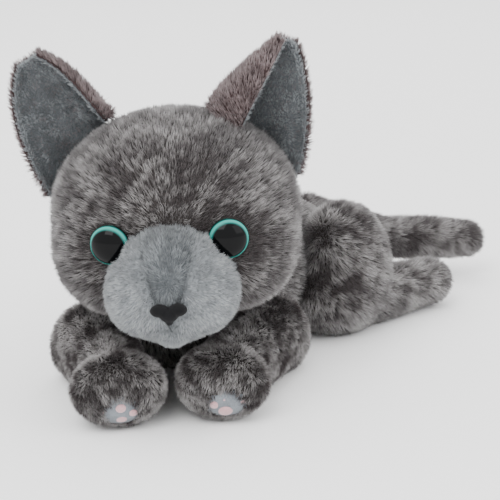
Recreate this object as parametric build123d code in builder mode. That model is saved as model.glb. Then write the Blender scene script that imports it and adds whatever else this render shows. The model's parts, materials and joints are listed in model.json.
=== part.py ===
"""A stuffed toy cat lying on its belly with its head up and its tail curled round to its left.

Millimetres. +Z is up, the cat looks along -Y and its own left is +X. The origin is the middle of the flat patch
of belly that it rests on. Every soft part is a sewn fabric cover round a wad of stuffing. The head, ears,
forelegs, hind legs and tail are bodies of their own, which flex where they are sewn on.
"""

import os
from math import asin, cos, degrees, radians, sin, tan

from build123d import *

os.makedirs("parts", exist_ok=True)

# ---------------------------------------------------------------- fabric and clearances
fur_wall = 3.0  # long-pile fabric, backing and flattened pile
plush_wall = 1.8  # short-pile fabric
fill_gap = 0.3  # between a cover and what it holds
seam_gap = 0.2  # between two panels that are sewn edge to edge
joint_gap = 0.8  # between two bodies, all round a joint

# ---------------------------------------------------------------- torso
body_heading = 57.0  # degrees from +X to the line from the chest to the rump
body_half_length = 95.0
body_radius = 47.0
belly_sink = 5.0  # how far the weight of the toy flattens the round of the belly
chest_half_width = 50.0
chest_radius = 40.0
chest_sink = 4.0
chest_set_in = 0.75  # of its own radius, in from the end of the body
chest_aside = 6.0  # from the line of the body, towards the cat's own right
side_seam_height = 26.0
pellet_bag_half_length = 38.0
pellet_bag_radius = 17.0
pellet_bag_wall = 0.8
pellet_bag_lift = 4.0  # stuffing below it

# ---------------------------------------------------------------- forelegs
shoulder_ahead = 15.0  # of the middle of the chest
shoulder_aside = 2.0  # towards the cat's own right
shoulder_spacing = 101.0
shoulder_radius = 27.0
shoulder_half_height = 27.0
foreleg_length = 84.0  # shoulder to the middle of the paw
foreleg_radius = 24.0
wrist_radius = 22.0
wrist_length = 10.0  # from the end of the wrist to the middle of the paw
foreleg_sink = 7.0
paw_half_width = 29.0
paw_radius = 23.0
paw_gap = 3.78  # between the widest places of the two paws
sole_radius = 13.0
sole_tilt = -21.0  # degrees that the sole looks up from level
sole_heading = {"left": -117.0, "right": -105.0}  # degrees round from +X that it looks
pad_radius = 4.8  # of a full-sized pad
# three toe pads in an arc over one larger pad: across and up the sole, then its share of the pad radius
pad_places = [(-8.0, 1.5, 0.6), (0.0, 7.0, 0.7), (8.0, 1.5, 0.6), (0.0, -4.0, 0.9)]

# ---------------------------------------------------------------- head
head_radius = 61.0
head_flare = 12.0  # how much further it reaches to each side
head_turned = 6.0  # degrees towards the cat's own right
head_rolled = 2.0  # degrees, its own left side up
head_ahead = 30.0  # of the middle of the shoulders
chin_room = 3.0  # between the muzzle and the paws below it
crown_width = 46.0  # the middle panel over the top of the head
muzzle_half_width = 36.5
muzzle_radius = 34.0
muzzle_set_in = 6.0  # the middle of the muzzle, in from the front of the head
bridge_width = 25.0
chin_radius = 8.0
chin_angle = 52.0  # degrees below level, seen from the middle of the muzzle
nose_half_width = 10.0
nose_radius = 5.5
nose_drop = 9.0  # below the middle of the muzzle

# ---------------------------------------------------------------- eyes
eye_radius = 11.0
eye_across = 32.0  # from the middle of the face
eye_drop = 4.0
lens_height = 6.0
iris_thickness = 1.2
iris_rim = 0.8  # of lens showing round it
shank_radius = 2.4
shank_length = 13.0
washer_radius = 9.0
washer_thickness = 1.6
washer_play = 1.2  # behind the inside of the cover

# ---------------------------------------------------------------- ears
ear_curl_radius = 58.0
ear_lining_wall = 1.6
ear_open_outwards = 15.0  # degrees from straight ahead
ear_lean = {"left": 14.0, "right": 30.0}  # degrees outwards from upright
ear_back_set = 11.0  # behind the middle of the head
ear_root_gap = 1.2
ear_hinge_rise = 9.0  # of the line it flops about, out from its root
ear_flop = (-15.0, 15.0)  # degrees, the range that its root is cut for
# outlines across the head and up from its middle, seen from the front, starting at the outer end of the root
ear_outlines = {
    "left": [(70, 12), (77, 34), (75, 82), (65, 95), (52, 88), (34, 73), (22, 50)],
    "right": [(-70, 10), (-86, 37), (-93, 66), (-84, 85), (-70, 88), (-51, 71), (-34, 50)],
}

# ---------------------------------------------------------------- neck
neck_thickness = 4.5
neck_cone = 31.0  # half the angle it spreads over, degrees
neck_aim = 4.0  # above the middle of the chest

# ---------------------------------------------------------------- hind legs
hip_along = 30.0  # behind the middle of the body
hip_out = 54.0
haunch_radius = 34.0
haunch_half_height = 44.0
haunch_sink = 4.0
foot_radius = 17.0
foot_taper = 0.5  # off its radius at the toes
foot_start = (52.0, 62.0)  # along and out from the middle of the body
foot_end = (92.0, 81.0)
hind_sole_radius = 12.0
hind_pad_radius = 3.4
hind_pad_places = [(-6.0, 2.0, 0.8), (0.0, 6.0, 0.8), (6.0, 2.0, 0.8), (0.0, -3.5, 1.0)]

# ---------------------------------------------------------------- tail
tail_root_along = 84.5
tail_root_height = 56.0
tail_root_radius = 14.0
tail_middle_radius = 14.5
tail_tip_radius = 15.5
tail_base_length = 61.0
tail_end_length = 62.0
tail_heading = 22.0  # degrees from +X
tail_curl = -11.0  # the end turns by this much more
tail_droop = 23.0
tail_end_droop = 7.5

# ---------------------------------------------------------------- ranges that neighbours are cut for
foreleg_swing = 35.0
hind_leg_swing = 30.0
tail_swing = (-5.0, 60.0)
tail_bend = 25.0
sides = {"left": 1, "right": -1}

# ---------------------------------------------------------------- places worked out from the sizes above
along = Vector(cos(radians(body_heading)), sin(radians(body_heading)), 0)
out_left = Vector(sin(radians(body_heading)), -cos(radians(body_heading)), 0)
body_centre = Vector(0, 0, body_radius - belly_sink)
chest_line = along * (chest_radius * chest_set_in - body_half_length)
chest_centre = Vector(chest_line.X - chest_aside, chest_line.Y, chest_radius - chest_sink)
shoulder_height = shoulder_half_height - foreleg_sink
shoulder_middle = Vector(chest_centre.X - shoulder_aside, chest_centre.Y - shoulder_ahead, shoulder_height)
paw_top = shoulder_height + paw_radius
head_half_width = head_radius + head_flare
muzzle_ahead = head_radius - muzzle_set_in
muzzle_drop = head_radius - muzzle_radius
head_height = paw_top + chin_room + muzzle_radius + muzzle_drop
head_centre = Vector(shoulder_middle.X, shoulder_middle.Y - head_ahead, head_height)
head_frame = Plane(Location(head_centre, (0, -head_rolled, -head_turned)))
up = Vector(0, 0, 1)


def body_point(ahead, left, height):
    """A point given along the body, out to its left and above the ground."""
    return Vector(0, 0, height) + along * ahead + out_left * left


def in_head(x, y, z):
    """A point given in the head's own frame."""
    return head_frame.from_local_coords(Vector(x, y, z))


def heading(angle, slope=0.0):
    """A direction from its angle round from +X and its slope above level."""
    flat = cos(radians(slope))
    return Vector(cos(radians(angle)) * flat, sin(radians(angle)) * flat, sin(radians(slope)))


def spheroid(centre, direction, half_length, radius, mode=Mode.ADD):
    """A round solid with its axis along a direction."""
    direction = Vector(direction).normalized()
    across = direction.cross(up) if abs(direction.Z) < 0.9 else Vector(1, 0, 0)
    with BuildSketch(Plane(origin=centre, x_dir=direction, z_dir=across)) as half:
        Ellipse(half_length, radius)
        Rectangle(2 * half_length, radius, align=(Align.CENTER, Align.MIN), mode=Mode.INTERSECT)
    revolve(half.sketch, axis=Axis(centre, direction), mode=mode)


def ball(centre, radius, mode=Mode.ADD):
    """A sphere."""
    with Locations(centre):
        Sphere(radius, mode=mode)


def limb(start, start_radius, end, end_radius, mode=Mode.ADD):
    """A taper with a ball at each end, in one smooth turn."""
    reach = end - start
    lean = asin((start_radius - end_radius) / reach.length)
    first = (start_radius * sin(lean), start_radius * cos(lean))
    last = (reach.length + end_radius * sin(lean), end_radius * cos(lean))
    half = lean / 2
    bend = radians(45)
    first_mid = (start_radius * sin(half - bend), start_radius * cos(half - bend))
    last_mid = (reach.length + end_radius * sin(half + bend), end_radius * cos(half + bend))
    across = reach.normalized().cross(up) if abs(reach.normalized().Z) < 0.9 else Vector(1, 0, 0)
    with BuildSketch(Plane(origin=start, x_dir=reach, z_dir=across)) as half:
        with BuildLine():
            ThreePointArc((-start_radius, 0), first_mid, first)
            Line(first, last)
            ThreePointArc(last, last_mid, (reach.length + end_radius, 0))
            Line((reach.length + end_radius, 0), (-start_radius, 0))
        make_face()
    revolve(half.sketch, axis=Axis(start, reach), mode=mode)


def flatten(height):
    """Cuts off what lies below a height."""
    split(bisect_by=Plane.XY.offset(height), keep=Keep.TOP)


def turned_about(point, centre, angle):
    """A point swung about the upright line through a centre."""
    arm = point - centre
    return centre + arm.rotate(Axis.Z, angle)


# ---------------------------------------------------------------- limb places
foreleg_toe_in = degrees(asin((shoulder_spacing / 2 - paw_half_width - paw_gap / 2) / foreleg_length))
shoulders = {}
paws = {}
hips = {}
foot_starts = {}
foot_ends = {}
for side, sign in sides.items():
    shoulders[side] = shoulder_middle + Vector(sign * shoulder_spacing / 2, 0, 0)
    paws[side] = shoulders[side] + heading(-90 - sign * foreleg_toe_in) * foreleg_length
    hips[side] = body_point(hip_along, sign * hip_out, haunch_half_height - haunch_sink)
    foot_starts[side] = body_point(foot_start[0], sign * foot_start[1], foot_radius)
    foot_ends[side] = body_point(foot_end[0], sign * foot_end[1], foot_radius)
tail_root = body_point(tail_root_along, 0, tail_root_height)
tail_middle = tail_root + heading(tail_heading, -tail_droop) * tail_base_length
tail_tip = tail_middle + heading(tail_heading + tail_curl, -tail_end_droop) * tail_end_length
tail_bend_room = tail_middle_radius * sin(radians(tail_bend)) + 2 * joint_gap


# ---------------------------------------------------------------- the solid that each cover is wrapped round
def torso_form(inset):
    """The torso drawn in by an inset, with its sockets that much bigger."""
    room = joint_gap + inset
    with BuildPart() as form:
        spheroid(body_centre, along, body_half_length - inset, body_radius - inset)
        spheroid(chest_centre, (1, 0, 0), chest_half_width - inset, chest_radius - inset)
        flatten(inset)
        ball(head_centre, head_radius + joint_gap + neck_thickness + room, Mode.SUBTRACT)
        for side, sign in sides.items():
            spheroid(
                shoulders[side],
                up,
                shoulder_half_height + room,
                shoulder_radius + room,
                Mode.SUBTRACT,
            )
            for angle in (0, foreleg_swing):
                paw = turned_about(paws[side], shoulders[side], sign * angle)
                limb(shoulders[side], foreleg_radius + room, paw, wrist_radius + room, Mode.SUBTRACT)
            spheroid(hips[side], up, haunch_half_height + room, haunch_radius + room, Mode.SUBTRACT)
            limb(foot_starts[side], foot_radius + room, foot_ends[side], foot_radius + room, Mode.SUBTRACT)
        for angle in (tail_swing[0], 0, *(tail_swing[1] * step / 4 for step in (1, 2, 3, 4))):
            middle = turned_about(tail_middle, tail_root, angle)
            limb(tail_root, tail_root_radius + room, middle, tail_middle_radius + room, Mode.SUBTRACT)
    return form.part


def foreleg_form(side, inset):
    """One foreleg from shoulder to paw, flattened by the ground."""
    with BuildPart() as form:
        spheroid(shoulders[side], up, shoulder_half_height - inset, shoulder_radius - inset)
        wrist = paws[side] + (shoulders[side] - paws[side]).normalized() * wrist_length
        limb(shoulders[side], foreleg_radius - inset, wrist, wrist_radius - inset)
        across = (paws[side] - shoulders[side]).cross(up)
        spheroid(paws[side], across, paw_half_width - inset, paw_radius - inset)
        flatten(inset)
    return form.part


def haunch_form(side, inset):
    """One haunch, flattened by the ground."""
    with BuildPart() as form:
        spheroid(hips[side], up, haunch_half_height - inset, haunch_radius - inset)
        flatten(inset)
    return form.part


def foot_form(side, inset):
    """One hind foot, cut to butt against the haunch, flattened by the ground."""
    with BuildPart() as form:
        limb(foot_starts[side], foot_radius - inset, foot_ends[side], foot_radius - foot_taper - inset)
        spheroid(
            hips[side],
            up,
            haunch_half_height + seam_gap + inset,
            haunch_radius + seam_gap + inset,
            Mode.SUBTRACT,
        )
        flatten(inset)
    return form.part


def head_form(inset):
    """The round of the head."""
    with BuildPart() as form:
        spheroid(head_centre, head_frame.x_dir, head_half_width - inset, head_radius - inset)
    return form.part


def muzzle_form(inset):
    """The round of the muzzle, cut to butt against the head and to leave the eyes clear."""
    with BuildPart() as form:
        spheroid(
            in_head(0, -muzzle_ahead, -muzzle_drop),
            head_frame.x_dir,
            muzzle_half_width - inset,
            muzzle_radius - inset,
        )
        spheroid(
            head_centre,
            head_frame.x_dir,
            head_half_width + seam_gap + inset,
            head_radius + seam_gap + inset,
            Mode.SUBTRACT,
        )
        for frame in eye_frames.values():
            with Locations(Location(frame)):
                Cylinder(
                    eye_radius + fill_gap + inset,
                    muzzle_radius,
                    align=(Align.CENTER, Align.CENTER, Align.CENTER),
                    mode=Mode.SUBTRACT,
                )
    return form.part


# ---------------------------------------------------------------- eye places
eye_frames = {}
for side, sign in sides.items():
    back = (1 - (eye_across / head_half_width) ** 2) * head_radius**2 - eye_drop**2
    spot = Vector(sign * eye_across, -(back**0.5), -eye_drop)
    slope = Vector(spot.X / head_half_width**2, spot.Y / head_radius**2, spot.Z / head_radius**2)
    eye_frames[side] = Plane(
        origin=in_head(*spot),
        z_dir=in_head(*slope) - head_centre,
    )


def export(part, name):
    """Labels one sub-part and writes its file."""
    part.part.label = name
    export_step(part.part, f"parts/{name}.step")


# ================================================================ torso
torso_outside = torso_form(0)
torso_inside = torso_form(fur_wall)
torso_fill = torso_form(fur_wall + fill_gap)

with BuildPart() as torso_back_cover:
    add(torso_outside)
    add(torso_inside, mode=Mode.SUBTRACT)
    split(bisect_by=Plane.XY.offset(side_seam_height + seam_gap / 2), keep=Keep.TOP)
export(torso_back_cover, "torso_back_cover")

with BuildPart() as torso_belly_cover:
    add(torso_outside)
    add(torso_inside, mode=Mode.SUBTRACT)
    split(bisect_by=Plane.XY.offset(side_seam_height - seam_gap / 2), keep=Keep.BOTTOM)
export(torso_belly_cover, "torso_belly_cover")

pellet_bag_centre = Vector(0, 0, fur_wall + fill_gap + pellet_bag_lift + pellet_bag_radius)

with BuildPart() as torso_stuffing:
    add(torso_fill)
    spheroid(
        pellet_bag_centre,
        along,
        pellet_bag_half_length + fill_gap,
        pellet_bag_radius + fill_gap,
        Mode.SUBTRACT,
    )
export(torso_stuffing, "torso_stuffing")

pellet_bag_room = pellet_bag_wall + fill_gap / 3

with BuildPart() as pellet_bag_cloth:
    spheroid(pellet_bag_centre, along, pellet_bag_half_length, pellet_bag_radius)
    spheroid(
        pellet_bag_centre,
        along,
        pellet_bag_half_length - pellet_bag_wall,
        pellet_bag_radius - pellet_bag_wall,
        Mode.SUBTRACT,
    )
export(pellet_bag_cloth, "pellet_bag_cloth")

with BuildPart() as pellet_fill:
    spheroid(
        pellet_bag_centre,
        along,
        pellet_bag_half_length - pellet_bag_room,
        pellet_bag_radius - pellet_bag_room,
    )
export(pellet_fill, "pellet_fill")

# ================================================================ neck
neck_inner = head_radius + joint_gap
neck_outer = neck_inner + neck_thickness
neck_direction = chest_centre + up * neck_aim - head_centre
neck_cone_length = 1.3 * neck_outer

with BuildPart() as neck_gusset:
    ball(head_centre, neck_outer)
    spheroid(head_centre, head_frame.x_dir, head_half_width + joint_gap, neck_inner, Mode.SUBTRACT)
    with Locations(Location(Plane(origin=head_centre, z_dir=neck_direction))):
        Cone(
            seam_gap / 2,
            neck_cone_length * tan(radians(neck_cone)),
            neck_cone_length,
            align=(Align.CENTER, Align.CENTER, Align.MIN),
            mode=Mode.INTERSECT,
        )
export(neck_gusset, "neck_gusset")

# ================================================================ head
head_outside = head_form(0)
head_inside = head_form(fur_wall)
crown_left = Plane(origin=in_head(crown_width / 2, 0, 0), z_dir=head_frame.x_dir)
crown_right = Plane(origin=in_head(-crown_width / 2, 0, 0), z_dir=head_frame.x_dir)
bridge_left = Plane(origin=in_head(bridge_width / 2, 0, 0), z_dir=head_frame.x_dir)
bridge_right = Plane(origin=in_head(-bridge_width / 2, 0, 0), z_dir=head_frame.x_dir)
shank_hole = shank_radius + fill_gap
through_cover = 3 * fur_wall  # well past the inside of it


def pierce(side, depth, radius):
    """A round hole along an eye's shank, from outside the head to a depth."""
    with Locations(Location(eye_frames[side].offset(-depth))):
        Cylinder(
            radius,
            depth + head_radius,
            align=(Align.CENTER, Align.CENTER, Align.MIN),
            mode=Mode.SUBTRACT,
        )


with BuildPart() as head_left_cover:
    add(head_outside)
    add(head_inside, mode=Mode.SUBTRACT)
    split(bisect_by=crown_left.offset(seam_gap / 2), keep=Keep.TOP)
    pierce("left", through_cover, shank_hole)
export(head_left_cover, "head_left_cover")

with BuildPart() as head_right_cover:
    add(head_outside)
    add(head_inside, mode=Mode.SUBTRACT)
    split(bisect_by=crown_right.offset(-seam_gap / 2), keep=Keep.BOTTOM)
    pierce("right", through_cover, shank_hole)
export(head_right_cover, "head_right_cover")

with BuildPart() as head_crown_cover:
    add(head_outside)
    add(head_inside, mode=Mode.SUBTRACT)
    split(bisect_by=crown_left.offset(-seam_gap / 2), keep=Keep.BOTTOM)
    split(bisect_by=crown_right.offset(seam_gap / 2), keep=Keep.TOP)
export(head_crown_cover, "head_crown_cover")

washer_depth = fur_wall + washer_play

with BuildPart() as head_stuffing:
    spheroid(
        head_centre,
        head_frame.x_dir,
        head_half_width - fur_wall - fill_gap,
        head_radius - fur_wall - fill_gap,
    )
    for side in sides:
        pierce(side, shank_length + fill_gap, shank_hole)
        pierce(side, washer_depth + washer_thickness + fill_gap, washer_radius + fill_gap)
export(head_stuffing, "head_stuffing")

# ================================================================ muzzle
muzzle_outside = muzzle_form(0)
muzzle_inside = muzzle_form(plush_wall)
chin_place = in_head(
    0,
    -muzzle_ahead - (muzzle_radius - chin_radius / 2) * cos(radians(chin_angle)),
    -muzzle_drop - (muzzle_radius - chin_radius / 2) * sin(radians(chin_angle)),
)

with BuildPart() as muzzle_bridge_cover:
    add(muzzle_outside)
    add(muzzle_inside, mode=Mode.SUBTRACT)
    split(bisect_by=bridge_left.offset(-seam_gap / 2), keep=Keep.BOTTOM)
    split(bisect_by=bridge_right.offset(seam_gap / 2), keep=Keep.TOP)
    ball(chin_place, chin_radius + seam_gap, Mode.SUBTRACT)
export(muzzle_bridge_cover, "muzzle_bridge_cover")

with BuildPart() as muzzle_left_cover:
    add(muzzle_outside)
    add(muzzle_inside, mode=Mode.SUBTRACT)
    split(bisect_by=bridge_left.offset(seam_gap / 2), keep=Keep.TOP)
export(muzzle_left_cover, "muzzle_left_cover")

with BuildPart() as muzzle_right_cover:
    add(muzzle_outside)
    add(muzzle_inside, mode=Mode.SUBTRACT)
    split(bisect_by=bridge_right.offset(-seam_gap / 2), keep=Keep.BOTTOM)
export(muzzle_right_cover, "muzzle_right_cover")

muzzle_fill = muzzle_form(plush_wall + fill_gap)

with BuildPart() as muzzle_stuffing:
    add(muzzle_fill)
    ball(chin_place, chin_radius + fill_gap, Mode.SUBTRACT)
export(muzzle_stuffing, "muzzle_stuffing")

with BuildPart() as chin_cover:
    ball(chin_place, chin_radius)
export(chin_cover, "chin_cover")

nose_back = (muzzle_radius**2 - nose_drop**2) ** 0.5

with BuildPart() as nose:
    spheroid(
        in_head(0, -muzzle_ahead - nose_back, -muzzle_drop - nose_drop),
        head_frame.x_dir,
        nose_half_width,
        nose_radius,
    )
    spheroid(
        in_head(0, -muzzle_ahead, -muzzle_drop),
        head_frame.x_dir,
        muzzle_half_width + seam_gap,
        muzzle_radius + seam_gap,
        Mode.SUBTRACT,
    )
export(nose, "nose")

# ================================================================ eyes
lens_radius = (eye_radius**2 + lens_height**2) / (2 * lens_height)
lens_back = iris_thickness + seam_gap

for side in sides:
    face = eye_frames[side]

    with BuildPart() as eye_lens:
        with Locations(Location(face.offset(lens_height - lens_radius))):
            Sphere(lens_radius)
        split(bisect_by=face.offset(lens_back), keep=Keep.TOP)
    export(eye_lens, f"eye_{side}_lens")

    with BuildPart() as eye_iris:
        with Locations(Location(face)):
            Cylinder(eye_radius - iris_rim, iris_thickness, align=(Align.CENTER, Align.CENTER, Align.MIN))
    export(eye_iris, f"eye_{side}_iris")

    with BuildPart() as eye_shank:
        with Locations(Location(face.offset(-shank_length))):
            Cylinder(
                shank_radius,
                shank_length - seam_gap / 2,
                align=(Align.CENTER, Align.CENTER, Align.MIN),
            )
    export(eye_shank, f"eye_{side}_shank")

    with BuildPart() as eye_washer:
        with Locations(Location(face.offset(-washer_depth - washer_thickness))):
            Cylinder(washer_radius, washer_thickness, align=(Align.CENTER, Align.CENTER, Align.MIN))
            Cylinder(
                shank_radius + seam_gap / 2,
                washer_thickness,
                align=(Align.CENTER, Align.CENTER, Align.MIN),
                mode=Mode.SUBTRACT,
            )
    export(eye_washer, f"eye_{side}_washer")

# ================================================================ ears
ear_axes = {}


def ear_form(side, inner_radius, outer_radius):
    """A curled sheet of ear between two radii of its curl, cut clear of the head through its flop."""
    sign = sides[side]
    outline = ear_outlines[side]
    root = Vector((outline[0][0] + outline[-1][0]) / 2, 0, (outline[0][1] + outline[-1][1]) / 2)
    lean = radians(ear_lean[side])
    stand = in_head(sign * sin(lean), 0, cos(lean)) - head_centre
    opening = radians(ear_open_outwards)
    facing = in_head(sign * sin(opening), -cos(opening), 0) - head_centre
    axis_point = in_head(root.X, ear_back_set, root.Z) + facing * ear_curl_radius
    with BuildSketch(head_frame.rotated((90, 0, 0))) as flat:
        with BuildLine():
            Spline(*outline)
            Line(outline[-1], outline[0])
        make_face()
    curl = Plane(origin=axis_point, z_dir=stand)
    with BuildPart() as form:
        extrude(flat.sketch, amount=3 * ear_curl_radius, both=True)
        with Locations(Location(curl)):
            Cylinder(outer_radius, 8 * ear_curl_radius, mode=Mode.INTERSECT)
            Cylinder(inner_radius, 8 * ear_curl_radius, mode=Mode.SUBTRACT)
        split(bisect_by=Plane(origin=axis_point, z_dir=-facing), keep=Keep.TOP)
        for angle in (ear_flop[0], 0, ear_flop[1]):
            add(ear_head.rotate(ear_axes[side], angle), mode=Mode.SUBTRACT)
    return form.part


ear_head = head_form(-ear_root_gap)
for side in sides:
    ends = (ear_outlines[side][0], ear_outlines[side][-1])
    root_in = in_head(ends[0][0], 0, ends[0][1])
    root_out = in_head(ends[1][0], 0, ends[1][1])
    normal = (root_in + root_out) * 0.5 - head_centre
    shift = normal.normalized() * ear_hinge_rise + (in_head(0, ear_back_set, 0) - head_centre)
    ear_axes[side] = Axis((root_in + root_out) * 0.5 + shift, root_out - root_in)

for side in sides:
    back_form = ear_form(side, ear_curl_radius + seam_gap, ear_curl_radius + fur_wall)
    lining_form = ear_form(side, ear_curl_radius - ear_lining_wall, ear_curl_radius)

    with BuildPart() as ear_back:
        add(back_form)
    export(ear_back, f"ear_{side}_back")

    with BuildPart() as ear_lining:
        add(lining_form)
    export(ear_lining, f"ear_{side}_lining")

# ================================================================ forelegs
sole_grow = seam_gap + plush_wall  # from a paw's outside to its sole's


def on_sole(side, direction):
    """The point of a paw's sole that lies in a direction from the middle of the paw."""
    direction = direction.normalized()
    across = (paws[side] - shoulders[side]).cross(up).normalized()
    share = direction.dot(across) ** 2
    half_width = paw_half_width + sole_grow
    radius = paw_radius + sole_grow
    return paws[side] + direction * (share / half_width**2 + (1 - share) / radius**2) ** -0.5


for side in sides:
    foreleg_outside = foreleg_form(side, 0)
    foreleg_inside = foreleg_form(side, fur_wall)
    foreleg_fill = foreleg_form(side, fur_wall + fill_gap)
    reach = (paws[side] - shoulders[side]).normalized()
    across = reach.cross(up)
    sole_direction = heading(sole_heading[side], sole_tilt)

    with BuildPart() as foreleg_cover:
        add(foreleg_outside)
        add(foreleg_inside, mode=Mode.SUBTRACT)
    export(foreleg_cover, f"foreleg_{side}_cover")

    with BuildPart() as foreleg_stuffing:
        add(foreleg_fill)
    export(foreleg_stuffing, f"foreleg_{side}_stuffing")

    with BuildPart() as paw_sole:
        spheroid(paws[side], across, paw_half_width + sole_grow, paw_radius + sole_grow)
        spheroid(paws[side], across, paw_half_width + seam_gap, paw_radius + seam_gap, Mode.SUBTRACT)
        with Locations(Location(Plane(origin=paws[side], z_dir=sole_direction))):
            Cylinder(
                sole_radius,
                3 * paw_radius,
                align=(Align.CENTER, Align.CENTER, Align.MIN),
                mode=Mode.INTERSECT,
            )
        flatten(seam_gap)
    export(paw_sole, f"paw_{side}_sole")

    pad_face = Plane(origin=paws[side], x_dir=sole_direction.cross(up), z_dir=sole_direction)
    with BuildPart() as paw_pads:
        for pad_x, pad_y, share in pad_places:
            direction = pad_face.from_local_coords(Vector(pad_x, pad_y, paw_radius)) - paws[side]
            ball(on_sole(side, direction), pad_radius * share)
        spheroid(
            paws[side],
            across,
            paw_half_width + sole_grow + seam_gap,
            paw_radius + sole_grow + seam_gap,
            Mode.SUBTRACT,
        )
    export(paw_pads, f"paw_{side}_pads")

# ================================================================ hind legs
for side in sides:
    haunch_outside = haunch_form(side, 0)
    haunch_inside = haunch_form(side, fur_wall)
    haunch_fill = haunch_form(side, fur_wall + fill_gap)
    foot_outside = foot_form(side, 0)
    foot_inside = foot_form(side, fur_wall)
    foot_fill = foot_form(side, fur_wall + fill_gap)
    reach = (foot_ends[side] - foot_starts[side]).normalized()

    with BuildPart() as haunch_cover:
        add(haunch_outside)
        add(haunch_inside, mode=Mode.SUBTRACT)
    export(haunch_cover, f"haunch_{side}_cover")

    with BuildPart() as haunch_stuffing:
        add(haunch_fill)
    export(haunch_stuffing, f"haunch_{side}_stuffing")

    with BuildPart() as foot_cover:
        add(foot_outside)
        add(foot_inside, mode=Mode.SUBTRACT)
    export(foot_cover, f"foot_{side}_cover")

    with BuildPart() as foot_stuffing:
        add(foot_fill)
    export(foot_stuffing, f"foot_{side}_stuffing")

    with BuildPart() as foot_sole:
        spheroid(foot_ends[side], reach, foot_radius + sole_grow, foot_radius + sole_grow)
        spheroid(foot_ends[side], reach, foot_radius + seam_gap, foot_radius + seam_gap, Mode.SUBTRACT)
        with Locations(Location(Plane(origin=foot_ends[side], z_dir=reach))):
            Cylinder(
                hind_sole_radius,
                3 * foot_radius,
                align=(Align.CENTER, Align.CENTER, Align.MIN),
                mode=Mode.INTERSECT,
            )
    export(foot_sole, f"foot_{side}_sole")

    pad_face = Plane(origin=foot_ends[side], x_dir=reach.cross(up), z_dir=reach)
    with BuildPart() as foot_pads:
        for pad_x, pad_y, share in hind_pad_places:
            out = (foot_radius**2 - pad_x**2 - pad_y**2) ** 0.5 + sole_grow
            ball(pad_face.from_local_coords(Vector(pad_x, pad_y, out)), hind_pad_radius * share)
        ball(foot_ends[side], foot_radius + sole_grow + seam_gap, Mode.SUBTRACT)
    export(foot_pads, f"foot_{side}_pads")

# ================================================================ tail
tail_reach = (tail_middle - tail_root).normalized()


def tail_base_form(inset):
    """The root half of the tail, hollowed at its end for the ball of the other half."""
    with BuildPart() as form:
        limb(tail_root, tail_root_radius - inset, tail_middle, tail_middle_radius - inset)
        ball(tail_middle, tail_middle_radius + joint_gap + inset, Mode.SUBTRACT)
        split(
            bisect_by=Plane(origin=tail_middle - tail_reach * (tail_bend_room + inset), z_dir=tail_reach),
            keep=Keep.BOTTOM,
        )
    return form.part


def tail_end_form(inset):
    """The free half of the tail."""
    with BuildPart() as form:
        limb(tail_middle, tail_middle_radius - inset, tail_tip, tail_tip_radius - inset)
    return form.part


tail_base_outside = tail_base_form(0)
tail_base_inside = tail_base_form(fur_wall)
tail_base_fill = tail_base_form(fur_wall + fill_gap)

with BuildPart() as tail_base_cover:
    add(tail_base_outside)
    add(tail_base_inside, mode=Mode.SUBTRACT)
export(tail_base_cover, "tail_base_cover")

with BuildPart() as tail_base_stuffing:
    add(tail_base_fill)
export(tail_base_stuffing, "tail_base_stuffing")

tail_end_outside = tail_end_form(0)
tail_end_inside = tail_end_form(fur_wall)
tail_end_fill = tail_end_form(fur_wall + fill_gap)

with BuildPart() as tail_end_cover:
    add(tail_end_outside)
    add(tail_end_inside, mode=Mode.SUBTRACT)
export(tail_end_cover, "tail_end_cover")

with BuildPart() as tail_end_stuffing:
    add(tail_end_fill)
export(tail_end_stuffing, "tail_end_stuffing")
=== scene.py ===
"""A lying plush cat in frosted long pile, with a short plush face, glossy eyes and cupped ears. Metres, +Z up."""

import json
import math

import bpy
import numpy as np
from mathutils import Matrix, Vector, kdtree


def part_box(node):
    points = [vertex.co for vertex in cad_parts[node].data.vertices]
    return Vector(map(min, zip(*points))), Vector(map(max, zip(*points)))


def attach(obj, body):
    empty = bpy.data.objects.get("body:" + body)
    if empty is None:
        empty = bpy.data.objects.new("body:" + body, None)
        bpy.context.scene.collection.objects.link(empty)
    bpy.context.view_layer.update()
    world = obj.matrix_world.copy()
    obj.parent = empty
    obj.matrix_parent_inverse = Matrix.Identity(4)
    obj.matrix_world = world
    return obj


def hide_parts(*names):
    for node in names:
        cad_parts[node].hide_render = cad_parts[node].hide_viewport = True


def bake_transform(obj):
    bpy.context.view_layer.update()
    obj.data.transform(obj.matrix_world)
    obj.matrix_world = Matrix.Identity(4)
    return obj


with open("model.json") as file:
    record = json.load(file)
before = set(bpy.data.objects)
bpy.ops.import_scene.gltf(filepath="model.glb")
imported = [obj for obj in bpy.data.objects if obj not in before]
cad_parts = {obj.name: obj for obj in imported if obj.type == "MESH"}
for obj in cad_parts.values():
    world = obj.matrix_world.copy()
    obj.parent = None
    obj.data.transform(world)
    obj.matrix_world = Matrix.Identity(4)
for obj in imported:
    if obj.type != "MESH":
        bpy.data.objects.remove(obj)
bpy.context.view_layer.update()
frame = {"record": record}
bpy.ops.object.select_all(action="DESELECT")

MM = 0.001

# ---------------------------------------------------------------- places, from the joints and the CAD boxes
joints = {j["name"]: j for j in frame["record"]["behaviour"]["joints"]}


def pivot(name):
    """Where a joint turns."""
    return np.array(joints[name]["pos_m"], float)


def middle(node):
    """The middle of a CAD node's box."""
    low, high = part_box(node)
    return (np.array(low, float) + np.array(high, float)) / 2


def unit(v):
    """A vector, or each of several, at length 1."""
    v = np.asarray(v, float)
    return v / np.maximum(np.linalg.norm(v, axis=-1, keepdims=True), 1e-12)


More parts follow.
